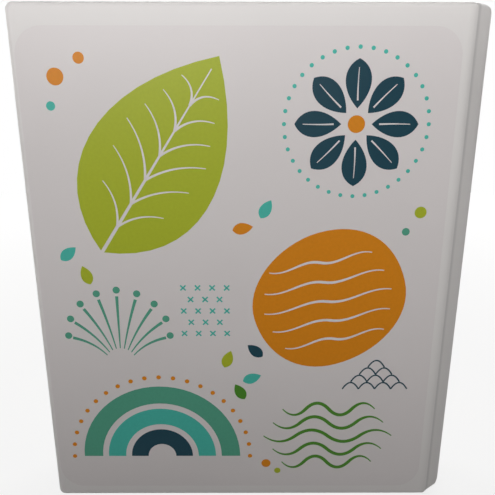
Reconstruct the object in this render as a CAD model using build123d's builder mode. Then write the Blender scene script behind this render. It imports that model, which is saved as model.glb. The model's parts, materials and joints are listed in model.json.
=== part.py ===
"""Weekly pill organizer: a book-like case that stands upright, with seven pull-out day strips inside."""

import math
import os

from build123d import *

# Millimetres. X runs from the fore-edge to the spine, Y from the front to the back, Z up.
case_width = 137.5
case_depth = 25.0
case_height = 161.0

# Days are stacked in the height of the case, doses lie along each strip
day_count = 7
dose_count = 4

# Front and back boards: flat plates with rounded edges that roll off towards the hinge
board_wall = 1.8
rim_wall = 1.6
edge_round = 1.7
fore_corner = 2.2
hinge_corner = 1.4
roll_width = 2.6
roll_drop = 0.8
cover_depth = 4.4
parting_gap = 0.3

# Half-lap between the rims of the two boards
lap_reach = 1.2
lap_wall = 0.65
lap_gap = 0.2
lap_end_gap = 0.5

# Printed film, let into the face of the front cover
film_thickness = 0.2
film_sink = 0.02
film_corner = 8.0
film_fore_margin = 1.8
film_hinge_margin = 3.4
film_top_margin = 6.3
film_bottom_margin = 3.9

# Spine and the two thin webs that it folds on
spine_bulge = 6.7
spine_wall = 1.5
spine_slope = 4.6
spine_round = 5.0
spine_corner = 4.4
spine_end_round = 1.0
hinge_half_gap = 0.16
hinge_sink = 0.8
spine_sink = 0.08
web_radius = 0.12
web_thickness = 0.2
web_end_gap = 0.5

# Rack that carries the strips, staked to the back board
rack_gap = 0.3
rack_hinge_gap = 0.6
rack_front_gap = 0.4
rack_setback = 2.0
rack_plate = 1.2
rack_end_wall = 1.6
shelf_thickness = 1.2
shelf_lip = 1.0
shelf_lip_reach = 0.9
stake_diameter = 3.0
stake_gap = 0.1
stake_margin = 24.0
stake_bay_share = 1.5

# Day strip: one trough with a pocket for each dose and a handling zone at the fore-edge
strip_gap = 0.25
strip_setback = 4.2
strip_side_wall = 1.7
strip_end_wall = 1.6
strip_floor = 1.2
strip_lip = 0.9
strip_round = 0.6
dose_wall = 1.2
dose_corner = 2.0
handle_length = 12.5
handle_wall = 1.4
pull_reach = 2.4
pull_thickness = 1.4
pull_width = 12.0
pull_bead = 1.0

# Clear lid that runs in the strip's grooves
lid_thickness = 1.2
lid_gap = 0.15
lid_groove = 0.9
lid_setback = 1.0
ridge_count = 4
ridge_height = 0.6
ridge_width = 0.9
ridge_pitch = 2.0
ridge_length = 11.0
ridge_margin = 2.5

# One overrun serves every cut
overrun = 1.0

# Places worked out from the sizes
left_x = -case_width / 2
right_x = case_width / 2
front_y = -case_depth / 2
back_y = case_depth / 2
middle_z = case_height / 2

hinge_x = right_x - spine_bulge
board_right = hinge_x - hinge_half_gap
board_length = board_right - left_x
board_x = (left_x + board_right) / 2
spine_left = hinge_x + hinge_half_gap
front_fold_y = front_y + roll_drop
back_fold_y = back_y - roll_drop
front_hinge_y = front_fold_y + hinge_sink
back_hinge_y = back_fold_y - hinge_sink
spine_front_y = front_hinge_y - spine_sink
spine_back_y = back_hinge_y + spine_sink
spine_width = right_x - spine_left
cover_rear_y = front_y + cover_depth
parting_y = cover_rear_y + parting_gap
film_length = board_length - film_fore_margin - film_hinge_margin
film_height = case_height - film_top_margin - film_bottom_margin
film_x = left_x + film_fore_margin + film_length / 2
film_z = film_bottom_margin + film_height / 2
film_back_y = front_y + film_sink + film_thickness

rack_left = left_x + rack_setback
rack_right = board_right - rack_hinge_gap
rack_front = parting_y + rack_front_gap
rack_back = back_y - board_wall
rack_bottom = rim_wall + rack_gap
rack_height = case_height - 2 * rack_bottom
bay_height = (rack_height - (day_count + 1) * shelf_thickness) / day_count
bay_pitch = bay_height + shelf_thickness

strip_left = left_x + strip_setback
strip_right = rack_right - rack_end_wall - strip_gap
strip_front = rack_front + shelf_lip + strip_gap
strip_back = rack_back - rack_plate - strip_gap
strip_bottom = rack_bottom + shelf_thickness + strip_gap
strip_height = bay_height - 2 * strip_gap
strip_length = strip_right - strip_left
strip_z = strip_bottom + strip_height / 2
dose_pitch = (strip_length - handle_length - strip_end_wall) / dose_count
dose_length = dose_pitch - dose_wall
dose_width = strip_height - 2 * strip_side_wall
first_dose_x = strip_left + handle_length + dose_length / 2
groove_front = strip_front + strip_lip
groove_back = groove_front + lid_thickness + 2 * lid_gap
groove_width = dose_width + 2 * lid_groove
slot_right = strip_right - strip_end_wall
dose_floor_y = strip_back - strip_floor

lid_left = strip_left + lid_setback
lid_right = slot_right - lid_gap
lid_front = groove_front + lid_gap
lid_width = groove_width - 2 * lid_gap

lap_land = rim_wall - lap_wall - lap_gap
stake_x = (rack_left + stake_margin, rack_right - stake_margin)
stake_rise = stake_bay_share * bay_pitch + shelf_thickness / 2
stake_z = (rack_bottom + stake_rise, rack_bottom + rack_height - stake_rise)
stake_places = [(x, z) for x in stake_x for z in stake_z]


def upright(y):
    """Plane that faces the front at depth y: its own axes run along X and Z."""
    return Plane.XZ.offset(-y)


def block(x_range, y_range, z_range, mode=Mode.ADD):
    """Add or cut a square-edged block between pairs of places."""
    sizes = [high - low for low, high in (x_range, y_range, z_range)]
    centre = [(low + high) / 2 for low, high in (x_range, y_range, z_range)]
    with Locations(tuple(centre)):
        Box(*sizes, mode=mode)


def film_outline():
    """Outline of the printed film."""
    with Locations((film_x, film_z)):
        RectangleRounded(film_length, film_height, film_corner)


def board(piece, outer_y, fold_y, rim_y):
    """Add to a piece the solid of a board from its rim to its outer face, not yet hollowed."""
    with BuildSketch(upright(rim_y)) as outline:
        with Locations((board_x, middle_z)):
            plate = Rectangle(board_length, case_height)
        fillet(plate.vertices().group_by(Axis.X)[0], fore_corner)
    solid = extrude(outline.sketch, amount=rim_y - outer_y)
    outer_face = solid.faces().sort_by(lambda face: abs(face.center().Y - outer_y))[0]
    fillet(outer_face.edges().sort_by(Axis.X)[:-1], edge_round)
    with BuildSketch() as roll_off:
        with BuildLine():
            beyond_y = outer_y + math.copysign(overrun, outer_y)
            TangentArc((board_right - roll_width, outer_y), (board_right, fold_y), tangent=(1, 0))
            Polyline(
                (board_right, fold_y),
                (board_right + overrun, fold_y),
                (board_right + overrun, beyond_y),
                (board_right - roll_width, beyond_y),
                (board_right - roll_width, outer_y),
            )
        make_face()
    extrude(roll_off.sketch, amount=case_height, mode=Mode.SUBTRACT)
    hinge_end = piece.faces().sort_by(Axis.X)[-1]
    fillet(hinge_end.edges().filter_by(Axis.Y), hinge_corner)


# Front cover: a shallow dish, open along the hinge
inside_z = (rim_wall, case_height - rim_wall)
with BuildPart() as front_cover:
    board(front_cover, front_y, front_fold_y, cover_rear_y)
    hollow_x = (left_x + rim_wall, board_right + overrun)
    block(hollow_x, (front_y + board_wall, cover_rear_y + overrun), inside_z, Mode.SUBTRACT)
    lap_y = (parting_y - lap_reach - lap_end_gap, cover_rear_y + overrun)
    block(hollow_x, lap_y, (lap_land, case_height - lap_land), Mode.SUBTRACT)
    with BuildSketch(upright(film_back_y)):
        film_outline()
    extrude(amount=film_back_y - front_y + overrun, mode=Mode.SUBTRACT)

# Printed film in its recess
with BuildPart() as cover_film:
    with BuildSketch(upright(film_back_y)):
        film_outline()
    extrude(amount=film_thickness)

# Back cover: rear board with a floor and a roof, open at the fore-edge and along the hinge
with BuildPart() as back_cover:
    board(back_cover, back_y, back_fold_y, parting_y)
    hollow_x = (left_x - overrun, board_right + overrun)
    block(hollow_x, (parting_y - overrun, back_y - board_wall), inside_z, Mode.SUBTRACT)
    tongue_x = (left_x + rim_wall + lap_end_gap, board_right)
    tongue_y = (parting_y - lap_reach, parting_y)
    block(tongue_x, tongue_y, (rim_wall - lap_wall, rim_wall))
    block(tongue_x, tongue_y, (case_height - rim_wall, case_height - rim_wall + lap_wall))
    with BuildSketch(upright(rack_back)):
        with Locations(*stake_places):
            Circle(stake_diameter / 2)
    extrude(amount=rack_plate)

# Spine: a rounded channel that bridges the two boards
with BuildPart() as spine:
    with BuildSketch() as section:
        with BuildLine():
            Polyline(
                (spine_left, spine_front_y),
                (right_x, spine_front_y + spine_slope),
                (right_x, spine_back_y - spine_slope),
                (spine_left, spine_back_y),
                close=True,
            )
        make_face()
        fillet(section.vertices().group_by(Axis.X)[-1], spine_round)
    extrude(amount=case_height)
    ends = spine.faces().filter_by(Axis.Z)
    fillet([edge for end in ends for edge in end.edges().sort_by(Axis.X)[1:]], spine_end_round)
    with BuildSketch(upright(0)) as front_view:
        with Locations((spine_left + spine_width / 2, middle_z)):
            plate = Rectangle(spine_width, case_height)
        fillet(plate.vertices().group_by(Axis.X)[-1], spine_corner)
    extrude(front_view.sketch, amount=case_depth, both=True, mode=Mode.INTERSECT)
    offset(amount=-spine_wall, openings=spine.faces().sort_by(Axis.X)[0])


def hinge_web(hinge_y, seat_x):
    """Thin web of a fold line: a bead on the fold and the strip that ties it to its seat."""
    with BuildSketch(Plane.XY.offset(web_end_gap)) as section:
        with Locations((hinge_x, hinge_y)):
            Circle(web_radius)
        with Locations(((hinge_x + seat_x) / 2, hinge_y)):
            Rectangle(hinge_half_gap, web_thickness)
    extrude(section.sketch, amount=case_height - 2 * web_end_gap)


with BuildPart() as front_hinge_web:
    hinge_web(front_hinge_y, spine_left)

with BuildPart() as rear_hinge_web:
    hinge_web(back_hinge_y, board_right)

# Rack: a back plate with shelves, whose lips keep the strips from falling forward
with BuildPart() as rack:
    with BuildSketch(Plane.YZ.offset(rack_left)):
        with Locations((rack_back - rack_plate / 2, middle_z)):
            Rectangle(rack_plate, rack_height)
        shelf_depth = rack_back - rack_front
        with Locations(((rack_front + rack_back) / 2, middle_z)):
            with GridLocations(bay_pitch, bay_pitch, 1, day_count + 1):
                Rectangle(shelf_depth, shelf_thickness)
        with Locations((rack_front + shelf_lip / 2, middle_z)):
            with GridLocations(bay_pitch, bay_pitch, 1, day_count + 1):
                Rectangle(shelf_lip, shelf_thickness + 2 * shelf_lip_reach)
        with Locations(((rack_front + rack_back) / 2, middle_z)):
            Rectangle(shelf_depth, rack_height, mode=Mode.INTERSECT)
    extrude(amount=rack_right - rack_left)
    rack_z = (rack_bottom, rack_bottom + rack_height)
    block((rack_right - rack_end_wall, rack_right), (rack_front, rack_back), rack_z)
    with BuildSketch(upright(rack_back)):
        with Locations(*stake_places):
            Circle(stake_diameter / 2 + stake_gap)
    extrude(amount=rack_plate, mode=Mode.SUBTRACT)

# Day strip of the lowest bay, where the last day of the week lies
across_slot = (strip_z - groove_width / 2, strip_z + groove_width / 2)
across_dose = (strip_z - dose_width / 2, strip_z + dose_width / 2)
with BuildPart() as day_strip:
    block((strip_left, strip_right), (strip_front, strip_back), (strip_bottom, strip_bottom + strip_height))
    fillet(day_strip.edges(), strip_round)
    slot_x = (strip_left - overrun, slot_right)
    block(slot_x, (strip_front - overrun, groove_front), across_dose, Mode.SUBTRACT)
    block(slot_x, (groove_front, groove_back), across_slot, Mode.SUBTRACT)
    with BuildSketch(upright(dose_floor_y)):
        with Locations((first_dose_x + (dose_count - 1) * dose_pitch / 2, strip_z)):
            with GridLocations(dose_pitch, dose_pitch, dose_count, 1):
                RectangleRounded(dose_length, dose_width, dose_corner)
    extrude(amount=dose_floor_y - groove_back, mode=Mode.SUBTRACT)
    hollow_x = (strip_left + handle_wall, strip_left + handle_length - handle_wall)
    block(hollow_x, (groove_back + handle_wall, strip_back + overrun), across_dose, Mode.SUBTRACT)
    pull_y = (groove_back + strip_back) / 2
    pull_x = strip_left - pull_reach + pull_bead
    pull_y_range = (pull_y - pull_thickness / 2, pull_y + pull_thickness / 2)
    block((pull_x, strip_left), pull_y_range, (strip_z - pull_width / 2, strip_z + pull_width / 2))
    with Locations((pull_x, pull_y, strip_z)):
        Cylinder(pull_bead, pull_width)

# Lid of the lowest strip, with grip ridges over the handling zone
with BuildPart() as strip_lid:
    block(
        (lid_left, lid_right),
        (lid_front, lid_front + lid_thickness),
        (strip_z - lid_width / 2, strip_z + lid_width / 2),
    )
    with BuildSketch(upright(lid_front)):
        with Locations((lid_left + ridge_margin + (ridge_count - 1) * ridge_pitch / 2, strip_z)):
            with GridLocations(ridge_pitch, ridge_pitch, ridge_count, 1):
                SlotOverall(ridge_length, ridge_width, rotation=90)
    extrude(amount=ridge_height)

single_pieces = {
    "front_cover": front_cover,
    "cover_film": cover_film,
    "back_cover": back_cover,
    "spine": spine,
    "front_hinge_web": front_hinge_web,
    "rear_hinge_web": rear_hinge_web,
    "rack": rack,
}
repeated_pieces = {"day_strip": day_strip, "strip_lid": strip_lid}

os.makedirs("parts", exist_ok=True)
for name, piece in single_pieces.items():
    piece.part.label = name
    export_step(piece.part, f"parts/{name}.step")
for day in range(day_count):
    for name, piece in repeated_pieces.items():
        placed = piece.part.moved(Location((0, 0, (day_count - 1 - day) * bay_pitch)))
        placed.label = f"{name}_{day + 1}"
        export_step(placed, f"parts/{placed.label}.step")
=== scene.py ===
"""Looks of a weekly pill organizer: finishes, cover print and marks, built around its CAD frame."""

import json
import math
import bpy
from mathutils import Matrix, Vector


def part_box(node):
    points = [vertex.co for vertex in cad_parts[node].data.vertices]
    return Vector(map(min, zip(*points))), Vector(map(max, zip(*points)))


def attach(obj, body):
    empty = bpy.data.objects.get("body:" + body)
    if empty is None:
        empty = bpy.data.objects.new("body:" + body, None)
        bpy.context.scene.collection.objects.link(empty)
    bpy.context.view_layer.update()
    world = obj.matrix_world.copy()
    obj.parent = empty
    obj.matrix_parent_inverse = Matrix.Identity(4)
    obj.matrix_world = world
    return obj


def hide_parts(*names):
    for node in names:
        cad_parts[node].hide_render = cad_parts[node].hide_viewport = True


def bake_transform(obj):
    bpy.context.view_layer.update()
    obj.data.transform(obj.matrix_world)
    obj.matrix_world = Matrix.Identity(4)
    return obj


bl_info = {
    "name": "Weekly Pill Organizer",
    "version": (1, 0, 0),
    "blender": (4, 5, 0),
    "location": "View3D > Sidebar > Pill Organizer",
    "description": "Finishes a book-like pill organizer: plastics, fold lines, cover print and marks",
    "category": "Object",
}

import bpy
from mathutils import Matrix, Vector

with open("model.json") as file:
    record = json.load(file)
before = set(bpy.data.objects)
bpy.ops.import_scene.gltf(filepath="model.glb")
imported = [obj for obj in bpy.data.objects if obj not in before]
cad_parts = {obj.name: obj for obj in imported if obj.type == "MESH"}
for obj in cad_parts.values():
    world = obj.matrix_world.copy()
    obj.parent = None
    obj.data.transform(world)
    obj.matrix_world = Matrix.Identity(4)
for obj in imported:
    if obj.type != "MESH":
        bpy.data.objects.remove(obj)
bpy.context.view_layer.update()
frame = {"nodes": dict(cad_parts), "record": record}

MM = 0.001
QUARTER_TURN = math.pi / 2
SMOOTH_ANGLE = math.radians(40)
ARC_HANDLE = 4 / 3 * math.tan(math.pi / 8)  # Bezier handle of a quarter circle of radius 1
CURVE_STEPS = 16
WHITE = (1, 1, 1, 1)
DAYS = range(1, 8)
FILM_LOW, FILM_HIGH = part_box("cover_film")
FOLD_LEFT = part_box("front_cover")[1].x
FOLD_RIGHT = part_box("spine")[0].x


def linear(code):
    """Linear RGB of an sRGB hex code."""
    shares = [int(code[i : i + 2], 16) / 255 for i in (1, 3, 5)]
    return tuple(c / 12.92 if c <= 0.04045 else ((c + 0.055) / 1.055) ** 2.4 for c in shares)


def colour(name, code, description):
    """Colour property with an sRGB default."""
    return bpy.props.FloatVectorProperty(
        name=name, description=description, subtype="COLOR", size=3, min=0, max=1, default=linear(code)
    )


def length(name, size_mm, description):
    """Length property with its default in millimetres."""
    return bpy.props.FloatProperty(
        name=name, description=description, unit="LENGTH", precision=6, min=0, default=size_mm * MM
    )


def light_power(name, watts, description):
    """Power property of a light with its default in watts."""
    return bpy.props.FloatProperty(
        name=name, description=description, subtype="POWER", min=0, default=watts
    )


class PillFinish(bpy.types.PropertyGroup):
    """Colours of the plastics and inks."""

    case_white: colour("Case white", "#E2DEDC", "Warm white polypropylene of the case")
    film_white: colour("Film white", "#DED8D7", "Bare film, a little greyer than the case")
    rack_grey: colour("Rack grey", "#D3D5D3", "Pale grey polypropylene of the rack")
    strip_white: colour("Strip white", "#ECEBE7", "White polypropylene of the day strips")
    lid_clear: colour("Lid tint", "#EAF4F1", "Tint of the clear polystyrene lids")
    mark_grey: colour("Mark grey", "#35464A", "Ink of the day and dose marks")
    lime: colour("Lime ink", "#A9B42D", "Large leaf, seeds and dots of the print")
    teal: colour("Teal ink", "#549F85", "Outer arch, shell and a dot of the print")
    turquoise: colour("Turquoise ink", "#4BB7A8", "Middle arch, crosses, seeds and dots of the print")
    ochre: colour("Ochre ink", "#D98619", "Pebble, a seed and dots of the print")
    deep_teal: colour("Deep teal ink", "#173F4D", "Rosette, inner arch, scales and a seed of the print")
    leaf_green: colour("Leaf green ink", "#498527", "Ripples and a seed of the print")


class PillPrint(bpy.types.PropertyGroup):
    """Sizes of the printed layers and fold lines."""

    ink: length("Ink thickness", 0.01, "Thickness of one printed layer")
    line: length("Line width", 0.75, "Width of a vein in the large leaf")
    mark_height: length("Day mark height", 6.5, "Height of a day number")
    icon: length("Dose mark radius", 2.2, "Radius of the disc in a dose mark")
    web: length("Web thickness", 0.2, "Thickness of the living hinge at its fold")


class PillStage(bpy.types.PropertyGroup):
    """Camera and lights."""

    lens: bpy.props.FloatProperty(
        name="Focal length",
        description="Focal length on a 36 mm wide sensor",
        unit="CAMERA",
        min=1,
        default=35.97,
    )
    key_power: light_power("Key power", 0.74, "Power of the soft box in front")
    top_power: light_power("Top power", 1.43, "Power of the narrow box over the top edge")
    rim_power: light_power("Rim power", 3.5, "Power of the soft box behind the back")
    side_power: light_power("Side power", 3.0, "Power of each soft box beside the back")
    ambient: bpy.props.FloatProperty(
        name="Ambient", description="Strength of the even light from all round", min=0, default=0.16
    )


def add_node(tree, kind, inputs=None, **settings):
    """Node with its settings; each input is a value or a socket to link."""
    node = tree.nodes.new(kind)
    for key, value in settings.items():
        setattr(node, key, value)
    for key, value in (inputs or {}).items():
        if isinstance(value, bpy.types.NodeSocket):
            tree.links.new(value, node.inputs[key])
        else:
            node.inputs[key].default_value = value
    return node


def new_material(name):
    """Empty node material and its output node."""
    material = bpy.data.materials.new(name)
    material.use_nodes = True
    material.node_tree.nodes.clear()
    return material, add_node(material.node_tree, "ShaderNodeOutputMaterial")


def per_mm(size):
    """Noise scale that gives features of this size in millimetres on Object coordinates."""
    return 1 / (size * MM)


def opaque(rgb, share=1.0):
    """RGBA of a colour, scaled by a share."""
    return (*[c * share for c in rgb], 1)


def fold_shade(tree, place, tint, fold_x):
    """Colour that darkens towards a fold line: painted shade standing in for the shade in the hinge groove.
    """
    shaded_reach, unshaded_reach = 0.4 * MM, 1.5 * MM
    shaded_share = 0.84
    x = add_node(tree, "ShaderNodeSeparateXYZ", {"Vector": place}).outputs["X"]
    shade_factor = add_node(
        tree,
        "ShaderNodeMapRange",
        {
            "Value": x,
            "From Min": fold_x + shaded_reach,
            "From Max": fold_x + unshaded_reach,
            "To Min": shaded_share,
            "To Max": 1,
        },
        interpolation_type="SMOOTHSTEP",
    )
    inputs = {0: tint, "Scale": shade_factor.outputs["Result"]}
    return add_node(tree, "ShaderNodeVectorMath", inputs, operation="SCALE").outputs["Vector"]


def moulded(name, rgb, roughness, grain_mm, grain_bump, fold_x=None):
    """Injection-moulded polypropylene: a waxy satin skin whose gloss wavers slowly where the melt cooled,
    over the fine spark grain of the mould. The grain is drawn coarser than life so that it shows."""
    flow_mm = 28
    dark_share, light_share = 0.975, 1.02
    gloss_waver = 0.05
    grain_depth = 0.05 * MM
    material, out = new_material(name)
    tree = material.node_tree
    place = add_node(tree, "ShaderNodeTexCoord").outputs["Object"]
    flow = add_node(
        tree, "ShaderNodeTexNoise", {"Vector": place, "Scale": per_mm(flow_mm), "Detail": 3}
    ).outputs["Fac"]
    grain = add_node(
        tree, "ShaderNodeTexNoise", {"Vector": place, "Scale": per_mm(grain_mm), "Detail": 2}
    ).outputs["Fac"]
    tint = add_node(tree, "ShaderNodeMix", {"Factor": flow}, data_type="RGBA")
    tint.inputs["A"].default_value = opaque(rgb, dark_share)
    tint.inputs["B"].default_value = opaque(rgb, light_share)
    tint = tint.outputs["Result"]
    # Painted shade: along a fold the colour darkens, standing in for the shade in the hinge groove
    if fold_x is not None:
        tint = fold_shade(tree, place, tint, fold_x)
    gloss = add_node(
        tree,
        "ShaderNodeMapRange",
        {"Value": flow, "To Min": roughness - gloss_waver, "To Max": roughness + gloss_waver},
    )
    bump = add_node(
        tree, "ShaderNodeBump", {"Height": grain, "Strength": grain_bump, "Distance": grain_depth}
    )
    shader = add_node(
        tree,
        "ShaderNodeBsdfPrincipled",
        {
            "Base Color": tint,
            "Roughness": gloss.outputs["Result"],
            "Normal": bump.outputs["Normal"],
            "IOR": 1.49,
            "Specular IOR Level": 0.15,
        },
    )
    tree.links.new(shader.outputs["BSDF"], out.inputs["Surface"])
    return material


def printed(name, rgb):
    """Offset ink under a satin varnish: an even colour with a faint mottle, about as glossy as the film."""
    mottle_mm = 0.9
    dark_share, light_share = 0.93, 1.07
    material, out = new_material(name)
    tree = material.node_tree
    place = add_node(tree, "ShaderNodeTexCoord").outputs["Object"]
    mottle = add_node(
        tree, "ShaderNodeTexNoise", {"Vector": place, "Scale": per_mm(mottle_mm), "Detail": 4}
    ).outputs["Fac"]
    tint = add_node(tree, "ShaderNodeMix", {"Factor": mottle}, data_type="RGBA")
    tint.inputs["A"].default_value = opaque(rgb, dark_share)
    tint.inputs["B"].default_value = opaque(rgb, light_share)
    shader = add_node(
        tree,
        "ShaderNodeBsdfPrincipled",
        {"Base Color": tint.outputs["Result"], "Roughness": 0.4, "IOR": 1.5, "Specular IOR Level": 0.15},
    )
    tree.links.new(shader.outputs["BSDF"], out.inputs["Surface"])
    return material


def clear_styrene(name, rgb):
    """Polished clear polystyrene: sharp reflections, a faint cool tint and slight waves from the flow."""
    flow_mm = 9
    flow_bump, flow_depth = 0.12, 0.2 * MM
    material, out = new_material(name)
    tree = material.node_tree
    place = add_node(tree, "ShaderNodeTexCoord").outputs["Object"]
    flow = add_node(
        tree, "ShaderNodeTexNoise", {"Vector": place, "Scale": per_mm(flow_mm), "Detail": 2}
    ).outputs["Fac"]
    bump = add_node(
        tree, "ShaderNodeBump", {"Height": flow, "Strength": flow_bump, "Distance": flow_depth}
    )
    shader = add_node(
        tree,
        "ShaderNodeBsdfPrincipled",
        {
            "Base Color": opaque(rgb),
            "Roughness": 0.06,
            "IOR": 1.59,
            "Transmission Weight": 0.92,
            "Normal": bump.outputs["Normal"],
        },
    )
    tree.links.new(shader.outputs["BSDF"], out.inputs["Surface"])
    return material


def studio_white(name):
    """Pale studio floor: near white to the camera, with a soft shadow that fades out into the white
    backdrop, and a dull sheet to the light it bounces."""
    fade_start, fade_end = 0.15, 0.8
    start_share = 0.8
    dull_grey, pale_white = "#5A5957", "#F4F3F1"
    material, out = new_material(name)
    tree = material.node_tree
    place = add_node(tree, "ShaderNodeTexCoord").outputs["Object"]
    away = add_node(tree, "ShaderNodeVectorMath", {0: place}, operation="LENGTH").outputs["Value"]
    fade = add_node(
        tree,
        "ShaderNodeMapRange",
        {"Value": away, "From Min": fade_start, "From Max": fade_end, "To Min": start_share, "To Max": 1},
    )
    ray = add_node(tree, "ShaderNodeLightPath").outputs
    seen = ray["Is Camera Ray"]
    for kind in ("Is Glossy Ray", "Is Transmission Ray"):
        seen = add_node(tree, "ShaderNodeMath", {0: seen, 1: ray[kind]}, operation="MAXIMUM").outputs[0]
    dull = add_node(tree, "ShaderNodeBsdfDiffuse", {"Color": opaque(linear(dull_grey))})
    pale = add_node(tree, "ShaderNodeBsdfDiffuse", {"Color": opaque(linear(pale_white))})
    glow = add_node(tree, "ShaderNodeEmission", {"Color": WHITE, "Strength": 1})
    shown = add_node(
        tree, "ShaderNodeMixShader", {0: fade.outputs["Result"], 1: pale.outputs[0], 2: glow.outputs[0]}
    )
    mix = add_node(tree, "ShaderNodeMixShader", {0: seen, 1: dull.outputs[0], 2: shown.outputs[0]})
    tree.links.new(mix.outputs[0], out.inputs["Surface"])
    return material


def finish_node(node, material):
    """Give a CAD node its finish."""
    slots = frame["nodes"][node].data.materials
    slots.clear()
    slots.append(material)


def deselect_all():
    """Leave edit mode and select nothing."""
    if bpy.context.mode != "OBJECT":
        bpy.ops.object.mode_set(mode="OBJECT")
    bpy.ops.object.select_all(action="DESELECT")


def settle():
    """Turn the active flat curve or text into a flat-shaded mesh with its place in its points."""
    bpy.ops.object.convert(target="MESH")
    bpy.ops.object.transform_apply(location=True, rotation=True, scale=True)
    bpy.ops.object.shade_flat()
    return bpy.context.object


class PrintSheet:
    """An upright printing face: where it lies and which way it looks, the front being 0."""

    def __init__(self, origin, facing=0.0):
        upright = Matrix.Rotation(QUARTER_TURN, 4, "X")
        self.matrix = Matrix.Translation(origin) @ Matrix.Rotation(facing, 4, "Z") @ upright

    def place(self, obj, x, y, angle, layer, thickness):
        """Lay an object on the sheet at x, y, turned by angle, on top of the layers below it."""
        local = Matrix.Translation((x, y, (layer + 0.5) * thickness)) @ Matrix.Rotation(angle, 4, "Z")
        obj.matrix_world = self.matrix @ local


def bezier(anchors, closed):
    """New flat Bezier curve through anchors (x, y, in x, in y, out x, out y, radius)."""
    deselect_all()
    bpy.ops.curve.primitive_bezier_curve_add()
    obj = bpy.context.object
    obj.data.dimensions = "2D"
    spline = obj.data.splines[0]
    spline.bezier_points.add(len(anchors) - 2)
    spline.use_cyclic_u = closed
    spline.resolution_u = CURVE_STEPS
    for point, (x, y, in_x, in_y, out_x, out_y, radius) in zip(spline.bezier_points, anchors):
        point.handle_left_type = point.handle_right_type = "FREE"
        point.co = (x, y, 0)
        point.handle_left = (x + in_x, y + in_y, 0)
        point.handle_right = (x + out_x, y + out_y, 0)
        point.radius = radius
    return obj


def filled(sheet, anchors, x, y, angle, layer, thickness, material):
    """Printed solid shape inside a closed outline."""
    obj = bezier(anchors, True)
    obj.data.fill_mode = "BOTH"
    obj.data.extrude = thickness / 2
    obj.data.materials.append(material)
    sheet.place(obj, x, y, angle, layer, thickness)
    return settle()


def stroke(sheet, anchors, width, x, y, angle, layer, thickness, material):
    """Printed line along an open curve; its anchors' radii can taper it."""
    obj = bezier(anchors, False)
    obj.data.dimensions = "3D"
    obj.data.bevel_depth = width / 2
    obj.data.bevel_resolution = 1
    obj.data.use_fill_caps = True
    obj.data.materials.append(material)
    sheet.place(obj, x, y, angle, layer, thickness)
    obj.matrix_world = obj.matrix_world @ Matrix.Diagonal((1, 1, thickness / width, 1))
    return settle()


def merged(name, pieces):
    """Join printed pieces into one named object."""
    deselect_all()
    for piece in pieces:
        piece.select_set(True)
    bpy.context.view_layer.objects.active = pieces[0]
    bpy.ops.object.join()
    obj = bpy.context.object
    obj.name = obj.data.name = name
    return obj


def in_metres(anchors):
    """Anchors in millimetres turned to metres; their radii, which are shares of a line, stay."""
    return [(*(v * MM for v in sizes), radius) for *sizes, radius in anchors]


def disc(radius):
    """Anchors of a circle about the origin."""
    bend = radius * ARC_HANDLE
    return [
        (radius, 0, 0, -bend, 0, bend, 1),
        (0, radius, bend, 0, -bend, 0, 1),
        (-radius, 0, 0, bend, 0, -bend, 1),
        (0, -radius, -bend, 0, bend, 0, 1),
    ]


def leaf(reach, width):
    """Anchors of a pointed leaf along X, widest nearer its stalk."""
    swell = width * 0.67
    stalk_pull, tip_pull = reach * 0.18, reach * 0.38
    return [
        (-reach / 2, 0, stalk_pull, -swell, stalk_pull, swell, 1),
        (reach / 2, 0, -tip_pull, swell, -tip_pull, -swell, 1),
    ]


def bow(start, end, sag, tip=1.0):
    """Anchors of a line from start to end that bows to its left by sag; its end narrows to tip."""
    (x0, y0), (x1, y1) = start, end
    dx, dy = (x1 - x0) / 3, (y1 - y0) / 3
    lift = sag * 4 / 3 / math.hypot(x1 - x0, y1 - y0)
    nx, ny = -(y1 - y0) * lift, (x1 - x0) * lift
    return [(x0, y0, -dx, -dy, dx + nx, dy + ny, 1), (x1, y1, -dx + nx, -dy + ny, dx, dy, tip)]


def half_ring(outer, inner):
    """Anchors of an arch: a half ring that stands on the X axis."""
    up, low = outer * ARC_HANDLE, inner * ARC_HANDLE
    flat = (outer - inner) / 3
    return [
        (outer, 0, -flat, 0, 0, up, 1),
        (0, outer, up, 0, -up, 0, 1),
        (-outer, 0, 0, up, flat, 0, 1),
        (-inner, 0, -flat, 0, 0, low, 1),
        (0, inner, -low, 0, low, 0, 1),
        (inner, 0, 0, low, flat, 0, 1),
    ]


class PILL_OT_plastics(bpy.types.Operator):
    """Model the two living hinges as thin webs across the folds"""

    bl_idname = "pill.plastics"
    bl_label = "Plastics"

    def execute(self, context):
        finish = context.scene.pill_finish
        satin = {"roughness": 0.42, "grain_mm": 0.35, "grain_bump": 0.10}
        case = moulded("polypropylene_case", finish.case_white, **satin)
        # The spine's colour carries painted shade along its fold, for the hinge groove
        spine = moulded("polypropylene_spine", finish.case_white, **satin, fold_x=FOLD_RIGHT)
        film = moulded(
            "polypropylene_film", finish.film_white, roughness=0.40, grain_mm=0.35, grain_bump=0.05
        )
        rack = moulded(
            "polypropylene_rack", finish.rack_grey, roughness=0.55, grain_mm=0.5, grain_bump=0.15
        )
        strip = moulded(
            "polypropylene_strip", finish.strip_white, roughness=0.40, grain_mm=0.4, grain_bump=0.08
        )
        lid = clear_styrene("polystyrene_lid", finish.lid_clear)
        for node in ("front_cover", "back_cover"):
            finish_node(node, case)
        for node in ("spine", "front_hinge_web", "rear_hinge_web"):
            finish_node(node, spine)
        finish_node("cover_film", film)
        finish_node("rack", rack)
        for day in DAYS:
            finish_node(f"day_strip_{day}", strip)
            finish_node(f"strip_lid_{day}", lid)
        return {"FINISHED"}


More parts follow.
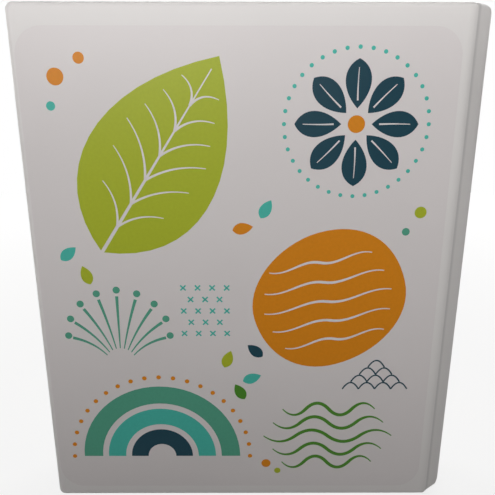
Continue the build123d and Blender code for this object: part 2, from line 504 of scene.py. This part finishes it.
class PILL_OT_fold_lines(bpy.types.Operator):
    """Model the two living hinges as thin webs that bend with the case"""

    bl_idname = "pill.fold_lines"
    bl_label = "Fold lines"

    tuck = 0.06 * MM
    level_slack = 0.01 * MM
    cuts = 9

    def execute(self, context):
        thickness = context.scene.pill_print.web
        for name, node, first, second in (
            ("front_fold", "front_hinge_web", "cover", "spine"),
            ("rear_fold", "rear_hinge_web", "base", "spine"),
        ):
            low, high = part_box(node)
            middle = (low + high) / 2
            left, right = FOLD_LEFT, FOLD_RIGHT
            deselect_all()
            bpy.ops.mesh.primitive_plane_add(size=1, rotation=(QUARTER_TURN, 0, 0))
            web = context.object
            web.name = web.data.name = name
            web.scale = (right - left + 2 * self.tuck, high.z - low.z, 1)
            web.location = ((left + right) / 2, middle.y, middle.z)
            bpy.ops.object.transform_apply(location=True, rotation=True, scale=True)
            bpy.ops.object.mode_set(mode="EDIT")
            bpy.ops.mesh.select_mode(type="EDGE")
            bpy.ops.mesh.select_all(action="DESELECT")
            bpy.ops.object.mode_set(mode="OBJECT")
            for edge in web.data.edges:
                ends = [web.data.vertices[i].co for i in edge.vertices]
                edge.select = abs(ends[0].z - ends[1].z) < self.level_slack
            bpy.ops.object.mode_set(mode="EDIT")
            bpy.ops.mesh.subdivide(number_cuts=self.cuts)
            bpy.ops.object.mode_set(mode="OBJECT")
            wall = web.modifiers.new("wall", "SOLIDIFY")
            wall.thickness = thickness
            wall.offset = 0
            bpy.ops.object.modifier_apply(modifier=wall.name)
            bpy.ops.object.shade_smooth_by_angle(angle=SMOOTH_ANGLE)
            # The web takes the spine's material, so its painted fold shade darkens the web too
            web.data.materials.append(bpy.data.materials["polypropylene_spine"])
            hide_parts(node)
            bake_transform(web)
        return {"FINISHED"}


class PILL_OT_cover_print(bpy.types.Operator):
    """Print leaf, arch, pebble, rosette, ripple, shell, cross and scale shapes on the front film"""

    bl_idname = "pill.cover_print"
    bl_label = "Cover print"

    # Places and sizes of the motifs are in millimetres, from the middle of the film

    def execute(self, context):
        sizes = context.scene.pill_print
        finish = context.scene.pill_finish
        self.ink, self.line = sizes.ink, sizes.line
        middle = (FILM_LOW + FILM_HIGH) / 2
        self.sheet = PrintSheet((middle.x, FILM_LOW.y, middle.z))
        inks = ("lime", "teal", "turquoise", "ochre", "deep_teal", "leaf_green")
        self.inks = {name: printed(f"ink_{name}", getattr(finish, name)) for name in inks}
        self.inks["white"] = printed("ink_white", finish.film_white)
        motifs = {
            "print_leaf": self.big_leaf(place=(-24, 39), angle=57),
            "print_arch": self.arch(place=(-27, -63)),
            "print_pebble": self.pebble(place=(28, -6), angle=12),
            "print_rosette": self.rosette(place=(34, 49)),
            "print_ripples": self.ripples(place=(30, -55)),
            "print_shell": self.shell(place=(-39, -27)),
            "print_crosses": self.crosses(place=(-11, -9)),
            "print_scales": self.scales(place=(45, -37)),
            "print_seeds": self.seeds(),
        }
        for name, pieces in motifs.items():
            motif = merged(name, pieces)
            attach(motif, "cover")
        return {"FINISHED"}

    def fill(self, anchors, ink, place, angle=0.0, layer=0):
        """Solid printed shape at a place, turned by an angle in degrees."""
        x, y = (v * MM for v in place)
        turn = math.radians(angle)
        return filled(self.sheet, in_metres(anchors), x, y, turn, layer, self.ink, self.inks[ink])

    def trace(self, anchors, ink, place, angle=0.0, layer=0, width=None):
        """Printed line at a place, turned by an angle in degrees."""
        x, y = (v * MM for v in place)
        turn = math.radians(angle)
        width = self.line if width is None else width * MM
        return stroke(self.sheet, in_metres(anchors), width, x, y, turn, layer, self.ink, self.inks[ink])

    def dot_row(self, centre, reach, angles, radius, ink):
        """Small dots on a circle about a centre."""
        turns = [math.radians(angle) for angle in angles]
        places = [(centre[0] + reach * math.cos(t), centre[1] + reach * math.sin(t)) for t in turns]
        return [self.fill(disc(radius), ink, place) for place in places]

    def big_leaf(self, place, angle):
        """Lime leaf with a white midrib and paired veins."""
        reach, width = 68, 40
        rib_end, rib_width, rib_tip = reach * 0.44, 1.1, 0.3
        pair_count, widest_pair = 6, 1.6
        first_vein, vein_pitch = -reach * 0.36, reach * 0.125
        spread_share, fall_share, lean_share = 0.36, 0.06, 0.95
        vein_sag, vein_tip = 1.6, 0.35
        midrib = bow((-reach / 2, 0), (rib_end, 0), 0, rib_tip)
        pieces = [self.fill(leaf(reach, width), "lime", place, angle)]
        pieces.append(self.trace(midrib, "white", place, angle, 1, rib_width))
        for pair in range(pair_count):
            along = first_vein + pair * vein_pitch
            spread = width * (spread_share - fall_share * abs(pair - widest_pair))
            for side in (1, -1):
                tip = (along + spread * lean_share, side * spread)
                vein = bow((along, 0), tip, -side * vein_sag, vein_tip)
                pieces.append(self.trace(vein, "white", place, angle, 1))
        return pieces

    def arch(self, place):
        """Three nested arches under a row of dots."""
        bands = (("teal", 27, 20.6), ("turquoise", 18.6, 12.6), ("deep_teal", 10.6, 4.8))
        dot_reach, dot_radius = 30.4, 0.75
        dot_angles = range(0, 181, 9)
        pieces = [self.fill(half_ring(outer, inner), ink, place) for ink, outer, inner in bands]
        return pieces + self.dot_row(place, dot_reach, dot_angles, dot_radius, "ochre")

    def pebble(self, place, angle):
        """Ochre pebble with white contour lines, longest in the middle."""
        outline = [
            (25, 2, 1, -13, -1, 14, 1),
            (1, 23, 14, 1, -13, -1, 1),
            (-24, -1, -1, 12, 1, -13, 1),
            (-1, -22, -13, -1, 14, 1, 1),
        ]
        line_count, line_width, line_tip = 5, 0.9, 0.35
        lowest, pitch, swing = -13, 6.6, 2.4
        longest, shortening, shortening_power = 20.5, 1.4, 1.6
        pieces = [self.fill(outline, "ochre", place, angle)]
        for rank in range(line_count):
            level = lowest + rank * pitch
            from_middle = abs(rank - (line_count - 1) / 2)
            half = longest - shortening * from_middle**shortening_power
            points = ((-half, line_tip), (0, 1), (half, line_tip))
            wave = [(x, level, -half / 3, swing, half / 3, -swing, radius) for x, radius in points]
            pieces.append(self.trace(wave, "white", place, angle, 1, line_width))
        return pieces

    def rosette(self, place):
        """Eight petals about a dot, in a ring of dots."""
        heart_radius = 2.5
        ring_reach, ring_dot = 21.0, 0.6
        ring_angles = range(0, 360, 10)
        petal_angles = range(0, 360, 45)
        petal_reach, petal_length, petal_width = 11.2, 13.6, 7.4
        rib_start, rib_end = -4.6, 4.4
        rib_width, rib_sag, rib_tip = 0.5, 0.1, 0.4
        rib = bow((rib_start, 0), (rib_end, 0), rib_sag, rib_tip)
        pieces = [self.fill(disc(heart_radius), "ochre", place)]
        pieces += self.dot_row(place, ring_reach, ring_angles, ring_dot, "turquoise")
        for angle in petal_angles:
            turn = math.radians(angle)
            centre = (place[0] + petal_reach * math.cos(turn), place[1] + petal_reach * math.sin(turn))
            petal = leaf(petal_length, petal_width)
            pieces.append(self.fill(petal, "deep_teal", centre, angle + 180))
            pieces.append(self.trace(rib, "white", centre, angle, 1, rib_width))
        return pieces

    def ripples(self, place):
        """Five rippling lines, longest in the middle."""
        line_count, line_width, line_tip = 5, 1.2, 0.3
        longest, shortening, pitch = 22, 3.2, 5.2
        bends, swing = 4, 3.0
        pieces = []
        for rank in range(line_count):
            from_middle = rank - (line_count - 1) / 2
            half = longest - shortening * abs(from_middle)
            level = from_middle * pitch
            wave = []
            for bend in range(bends + 1):
                x = -half + 2 * half * bend / bends
                rise = swing * (-1) ** bend
                radius = line_tip if bend in (0, bends) else 1
                wave.append((x, level, -half / 6, rise, half / 6, -rise, radius))
            pieces.append(self.trace(wave, "leaf_green", place, 0, 0, line_width))
        return pieces

    def shell(self, place):
        """Fan of teal ribs, each tipped with a dot."""
        rib_count, rib_step = 9, 15
        root_reach, longest, shortening = 5, 23, 0.35
        rib_width, rib_tip, rib_sag = 1.0, 0.35, 0.25
        dot_radius, dot_share = 1.15, 1.09
        pieces = []
        for rib in range(rib_count):
            from_middle = rib - (rib_count - 1) / 2
            turn = QUARTER_TURN + math.radians(from_middle * rib_step)
            reach = longest - shortening * from_middle**2
            tip = (reach * math.cos(turn), reach * math.sin(turn))
            root = (root_reach * math.cos(turn), root_reach * math.sin(turn))
            line = bow(tip, root, from_middle * rib_sag, rib_tip)
            pieces.append(self.trace(line, "teal", place, 0, 0, rib_width))
            dot = (place[0] + dot_share * tip[0], place[1] + dot_share * tip[1])
            pieces.append(self.fill(disc(dot_radius), "teal", dot))
        return pieces

    def crosses(self, place):
        """Field of fine crosses in staggered rows."""
        rows, columns = 5, 4
        pitch_x, pitch_y = 4.6, 3.9
        arm_reach, line_width = 1.2, 0.5
        arm = bow((-arm_reach, 0), (arm_reach, 0), 0)
        pieces = []
        for row in range(rows):
            from_middle = row - rows // 2
            count = columns - abs(from_middle) % 2
            for column in range(count):
                x = place[0] + (column - (count - 1) / 2) * pitch_x
                centre = (x, place[1] + from_middle * pitch_y)
                for angle in (45, 135):
                    pieces.append(self.trace(arm, "turquoise", centre, angle, 0, line_width))
        return pieces

    def scales(self, place):
        """Rows of fine scallops, each row one shorter than the row below it."""
        rows = 4
        half, rise, line_width = 2.7, 2.4, 0.5
        scallop = bow((half, 0), (-half, 0), -rise)
        pieces = []
        for row in range(rows):
            count = rows - row
            for column in range(count):
                x = place[0] + (column - (count - 1) / 2) * 2 * half
                centre = (x, place[1] + row * half)
                pieces.append(self.trace(scallop, "deep_teal", centre, 0, 0, line_width))
        return pieces

    def seeds(self):
        """Small seeds and dots scattered between the large shapes."""
        seed_length, seed_width = 6.4, 3.6
        pieces = []
        for x, y, angle, ink in (
            (-4, -26, 70, "lime"),
            (4, -33, 20, "turquoise"),
            (0, -38, 120, "leaf_green"),
            (5, -23, 140, "deep_teal"),
            (-53, 10, 40, "turquoise"),
            (-48, 3, 110, "lime"),
            (8, 24, 60, "turquoise"),
            (1, 18, 10, "ochre"),
        ):
            pieces.append(self.fill(leaf(seed_length, seed_width), ink, (x, y), angle))
        for x, y, radius, ink in (
            (-52, 62, 2.4, "ochre"),
            (-45, 67, 1.6, "ochre"),
            (-54, 54, 1.3, "turquoise"),
            (55, 23, 1.8, "lime"),
            (51, 17, 1.2, "teal"),
            (9, -66, 1.6, "ochre"),
            (13, -69, 1.1, "lime"),
        ):
            pieces.append(self.fill(disc(radius), ink, (x, y)))
        return pieces


class PILL_OT_day_marks(bpy.types.Operator):
    """Print a day number on the end of each strip"""

    bl_idname = "pill.day_marks"
    bl_label = "Day marks"

    pull_reach = 2.4 * MM
    from_front = 12.0 * MM
    digit_share = 0.72

    def execute(self, context):
        sizes = context.scene.pill_print
        ink = printed("ink_mark", context.scene.pill_finish.mark_grey)
        for day in DAYS:
            low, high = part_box(f"day_strip_{day}")
            face = Vector((low.x + self.pull_reach, low.y + self.from_front, (low.z + high.z) / 2))
            deselect_all()
            bpy.ops.object.text_add()
            text = context.object
            text.data.body = str(day)
            text.data.align_x, text.data.align_y = "CENTER", "CENTER"
            text.data.size = sizes.mark_height / self.digit_share
            text.data.extrude = sizes.ink / 2
            text.data.materials.append(ink)
            PrintSheet(face, -QUARTER_TURN).place(text, 0, 0, 0, 0, sizes.ink)
            number = settle()
            number.name = number.data.name = f"day_number_{day}"
            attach(number, f"strip_{day}")
        return {"FINISHED"}


class PILL_OT_dose_marks(bpy.types.Operator):
    """Print sunrise, noon, sunset and moon marks on each clear lid"""

    bl_idname = "pill.dose_marks"
    bl_label = "Dose marks"

    ridge_height = 0.6 * MM

    # Shares of the radius of a mark's disc

    line_share = 0.26
    ray_start_share, ray_end_share = 1.35, 1.9
    ground_half_share, ground_drop_share = 1.9, 0.5
    sunrise_drop_share = 0.5
    ripple_half_share, ripple_drop_share = 1.1, 1.1
    moon_share = 1.35

    def execute(self, context):
        self.ink = context.scene.pill_print.ink
        self.radius = context.scene.pill_print.icon
        self.material = bpy.data.materials["ink_mark"]
        pockets = {o["name"]: o["box_m"] for o in frame["record"]["physics"]["openings"]}
        first_low, first_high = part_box("strip_lid_1")
        self.sheet = PrintSheet((0, first_low.y + self.ridge_height, (first_low.z + first_high.z) / 2))
        pieces = []
        for dose, icon in enumerate((self.sunrise, self.noon, self.sunset, self.moon), 1):
            (low_x, _, _), (high_x, _, _) = pockets[f"dose_pocket_1_{dose}"]
            pieces += icon((low_x + high_x) / 2)
        marks = merged("dose_marks_1", pieces)
        for day in DAYS[1:]:
            low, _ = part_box(f"strip_lid_{day}")
            copy = marks.copy()
            copy.data = marks.data.copy()
            context.collection.objects.link(copy)
            copy.name = copy.data.name = f"dose_marks_{day}"
            copy.data.transform(Matrix.Translation((0, 0, low.z - first_low.z)))
        for day in DAYS:
            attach(bpy.data.objects[f"dose_marks_{day}"], f"lid_{day}")
        return {"FINISHED"}

    def fill(self, anchors, x, y=0.0):
        """Solid printed shape on the lid."""
        return filled(self.sheet, anchors, x, y, 0, 0, self.ink, self.material)

    def trace(self, start, end, x):
        """Straight printed line on the lid."""
        width = self.radius * self.line_share
        return stroke(self.sheet, bow(start, end, 0), width, x, 0, 0, 0, self.ink, self.material)

    def rays(self, x, angles, centre_y):
        """Short rays about a disc."""
        near, far = self.radius * self.ray_start_share, self.radius * self.ray_end_share
        lines = []
        for angle in angles:
            c, s = math.cos(math.radians(angle)), math.sin(math.radians(angle))
            lines.append(self.trace((near * c, centre_y + near * s), (far * c, centre_y + far * s), x))
        return lines

    def half_sun(self, x, base):
        """Half disc over a ground line."""
        r = self.radius
        bend = r * ARC_HANDLE
        dome = [
            (r, 0, -r / 3, 0, 0, bend, 1),
            (0, r, bend, 0, -bend, 0, 1),
            (-r, 0, 0, bend, r / 3, 0, 1),
        ]
        half = self.ground_half_share * r
        ground = base - self.ground_drop_share * r
        return [self.fill(dome, x, base), self.trace((-half, ground), (half, ground), x)]

    def sunrise(self, x):
        """Half sun with rays."""
        base = -self.sunrise_drop_share * self.radius
        return self.half_sun(x, base) + self.rays(x, range(30, 151, 30), base)

    def noon(self, x):
        """Whole sun with rays all round."""
        return [self.fill(disc(self.radius), x)] + self.rays(x, range(0, 360, 45), 0)

    def sunset(self, x):
        """Half sun without rays, over a second, shorter line."""
        half = self.ripple_half_share * self.radius
        level = -self.ripple_drop_share * self.radius
        return self.half_sun(x, 0) + [self.trace((-half, level), (half, level), x)]

    def moon(self, x):
        """Crescent, open to the right."""
        r = self.radius * self.moon_share
        crescent = [
            (r * 0.35, r * 0.9, -r * 0.75, -r * 0.35, -r * 1.75, r * 0.05, 1),
            (r * 0.35, -r * 0.9, -r * 1.75, -r * 0.05, -r * 0.75, r * 0.35, 1),
        ]
        return [self.fill(crescent, x)]


class PILL_OT_stage(bpy.types.Operator):
    """Lay the floor, hang the lights and set the camera at the viewing angle"""

    bl_idname = "pill.stage"
    bl_label = "Stage"

    camera_place_mm = (-2.25, -160.1, 130.7)
    pitch_down, yaw_right, roll = (math.radians(a) for a in (14.94, 0.19, 0.05))
    near_clip = 0.01
    floor_size = 8

    # Soft boxes by name: place, aim, then width and height in metres, spread in degrees, power property

    soft_boxes = {
        "key": ((-0.2, -0.9, 0.36), (0, 0, 0.25), (0.7, 0.15), 44, "key_power"),
        "top": ((0, -0.9, 0.60), (0, 0, 0.34), (0.7, 0.12), 18, "top_power"),
        "rim": ((0.1, 0.9, 0.5), (0, 0, 0.08), (0.8, 0.8), 180, "rim_power"),
        "fore_side": ((-0.7, 0.5, 0.35), (0, 0.05, 0.08), (0.4, 0.4), 180, "side_power"),
        "spine_side": ((0.6, 0.7, 0.35), (0, 0.05, 0.08), (0.4, 0.4), 180, "side_power"),
    }

    def execute(self, context):
        stage = context.scene.pill_stage
        deselect_all()
        bpy.ops.mesh.primitive_plane_add(size=self.floor_size, location=(0, 0, 0))
        floor = context.object
        floor.name = "floor"
        floor.data.materials.append(studio_white("studio_floor"))

        for name, (place, aim, size, spread, power) in self.soft_boxes.items():
            self.soft_box(name, place, aim, size, spread, getattr(stage, power))

        world = bpy.data.worlds.new("studio_world")
        context.scene.world = world
        world.use_nodes = True
        tree = world.node_tree
        tree.nodes.clear()
        ray = add_node(tree, "ShaderNodeLightPath").outputs
        even = add_node(tree, "ShaderNodeBackground", {"Color": WHITE, "Strength": stage.ambient})
        seen = add_node(tree, "ShaderNodeBackground", {"Color": WHITE, "Strength": 1})
        inputs = {0: ray["Is Camera Ray"], 1: even.outputs[0], 2: seen.outputs[0]}
        mix = add_node(tree, "ShaderNodeMixShader", inputs)
        add_node(tree, "ShaderNodeOutputWorld", {"Surface": mix.outputs[0]})

        bpy.ops.object.camera_add()
        camera = context.object
        camera.data.lens = stage.lens
        camera.data.clip_start = self.near_clip
        yaw = Matrix.Rotation(-self.yaw_right, 4, "Z")
        pitch = Matrix.Rotation(QUARTER_TURN - self.pitch_down, 4, "X")
        roll = Matrix.Rotation(self.roll, 4, "Z")
        camera.matrix_world = Matrix.Translation(Vector(self.camera_place_mm) * MM) @ yaw @ pitch @ roll
        context.scene.camera = camera
        context.scene.view_settings.view_transform = "Standard"
        return {"FINISHED"}

    def soft_box(self, name, place, aim, size, spread, power):
        """Soft box of a width and a height at a place, turned to its aim; a grid narrows its spread."""
        bpy.ops.object.light_add(type="AREA", location=place)
        light = bpy.context.object
        light.name = name
        light.data.shape = "RECTANGLE"
        light.data.size, light.data.size_y = size
        light.data.spread = math.radians(spread)
        light.data.energy = power
        light.rotation_euler = (Vector(aim) - Vector(place)).to_track_quat("-Z", "Y").to_euler()


class PILL_PT_panel(bpy.types.Panel):
    """Lists the steps that finish the organizer"""

    bl_idname = "PILL_PT_panel"
    bl_label = "Pill Organizer"
    bl_space_type = "VIEW_3D"
    bl_region_type = "UI"
    bl_category = "Pill Organizer"

    def draw(self, context):
        for step in STEPS:
            self.layout.operator(step.bl_idname)


STEPS = (
    PILL_OT_plastics,
    PILL_OT_fold_lines,
    PILL_OT_cover_print,
    PILL_OT_day_marks,
    PILL_OT_dose_marks,
    PILL_OT_stage,
)
GROUPS = {"pill_finish": PillFinish, "pill_print": PillPrint, "pill_stage": PillStage}


def register():
    for group in GROUPS.values():
        bpy.utils.register_class(group)
    for name, group in GROUPS.items():
        setattr(bpy.types.Scene, name, bpy.props.PointerProperty(type=group))
    for step in (*STEPS, PILL_PT_panel):
        bpy.utils.register_class(step)


def unregister():
    for step in (PILL_PT_panel, *reversed(STEPS)):
        bpy.utils.unregister_class(step)
    for name, group in GROUPS.items():
        delattr(bpy.types.Scene, name)
        bpy.utils.unregister_class(group)


def main():
    register()
    bpy.ops.pill.plastics()
    bpy.ops.pill.fold_lines()
    bpy.ops.pill.cover_print()
    bpy.ops.pill.day_marks()
    bpy.ops.pill.dose_marks()
    bpy.ops.pill.stage()


if __name__ == "__main__":
    main()
